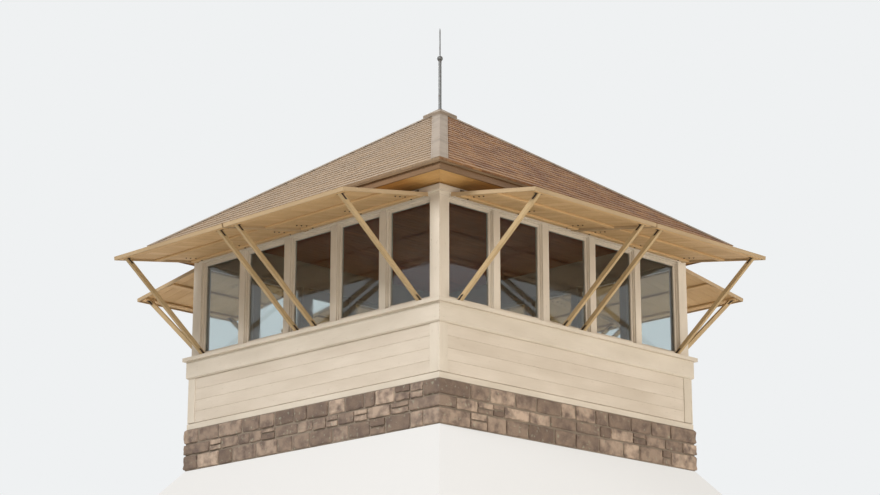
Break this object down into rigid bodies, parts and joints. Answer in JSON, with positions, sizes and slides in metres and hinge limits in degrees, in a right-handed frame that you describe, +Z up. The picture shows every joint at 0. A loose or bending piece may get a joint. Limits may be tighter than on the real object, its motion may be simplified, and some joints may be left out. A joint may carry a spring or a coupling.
{
  "type": "fire lookout cabin",
  "caption": "Square wooden fire lookout cabin on a low stone foundation, with window walls, shutters propped open as awnings, a hipped roof and a lightning rod.",
  "frame": {"origin": "middle of the house in plan, at the foot of the masonry foundation", "axes": "+Z up; -Y is the wall on the right in the picture, -X is the wall on the left; the door is in the unseen +Y wall"},
  "size_m": [6.8852, 6.8852, 5.6617],
  "materials": {
    "masonry": "rough field stone laid in mortar",
    "framing_timber": "sawn softwood",
    "interior_boards": "planed boards",
    "roof_shingles": "weathered wood shingles",
    "soffit_boards": "painted boards",
    "fascia_paint": "weathered paint",
    "galvanised_flashing": "dull zinc sheet",
    "rod_metal": "weathered steel tube",
    "hinge_iron": "blacksmith's iron with worn paint",
    "window_glass": "plain window glass",
    "shutter_paint": "weathered tan paint",
    "threshold_timber": "worn grey timber",
    "door_paint": "weathered paint",
    "wall_paint": "weathered cream paint on boards"
  },
  "bodies": {
    "root": {"stone_foundation": "masonry", "floor_joists": "framing_timber", "floor_deck": "interior_boards", "water_table": "wall_paint", "corner_posts": "wall_paint", "front_lower_wall": "wall_paint", "right_lower_wall": "wall_paint", "left_lower_wall": "wall_paint", "back_lower_wall_beside_hinges": "wall_paint", "back_lower_wall_beside_latch": "wall_paint", "front_sill": "wall_paint", "right_sill": "wall_paint", "back_sill": "wall_paint", "left_sill": "wall_paint", "front_window_posts": "wall_paint", "right_window_posts": "wall_paint", "back_window_posts": "wall_paint", "left_window_posts": "wall_paint", "front_sashes": "wall_paint", "right_sashes": "wall_paint", "back_sashes": "wall_paint", "left_sashes": "wall_paint", "front_window_glass": "window_glass", "right_window_glass": "window_glass", "back_window_glass": "window_glass", "left_window_glass": "window_glass", "door_leaf": "door_paint", "door_threshold": "threshold_timber", "wall_plates": "wall_paint", "shutter_rail": "wall_paint", "ceiling": "interior_boards", "ceiling_joists": "framing_timber", "hip_rafters": "framing_timber", "common_and_jack_rafters": "framing_timber", "soffit": "soffit_boards", "fascia": "fascia_paint", "front_roof_slope": "roof_shingles", "right_roof_slope": "roof_shingles", "back_roof_slope": "roof_shingles", "left_roof_slope": "roof_shingles", "hip_flashing": "galvanised_flashing", "peak_cap": "galvanised_flashing", "lightning_rod": "rod_metal", "hinge_plates": "hinge_iron", "hinge_straps": "hinge_iron", "front_shutters": "shutter_paint", "right_shutters": "shutter_paint", "back_shutters": "shutter_paint", "left_shutters": "shutter_paint", "front_struts": "shutter_paint", "right_struts": "shutter_paint", "back_struts": "shutter_paint", "left_struts": "shutter_paint"}
  },
  "joints": []
}
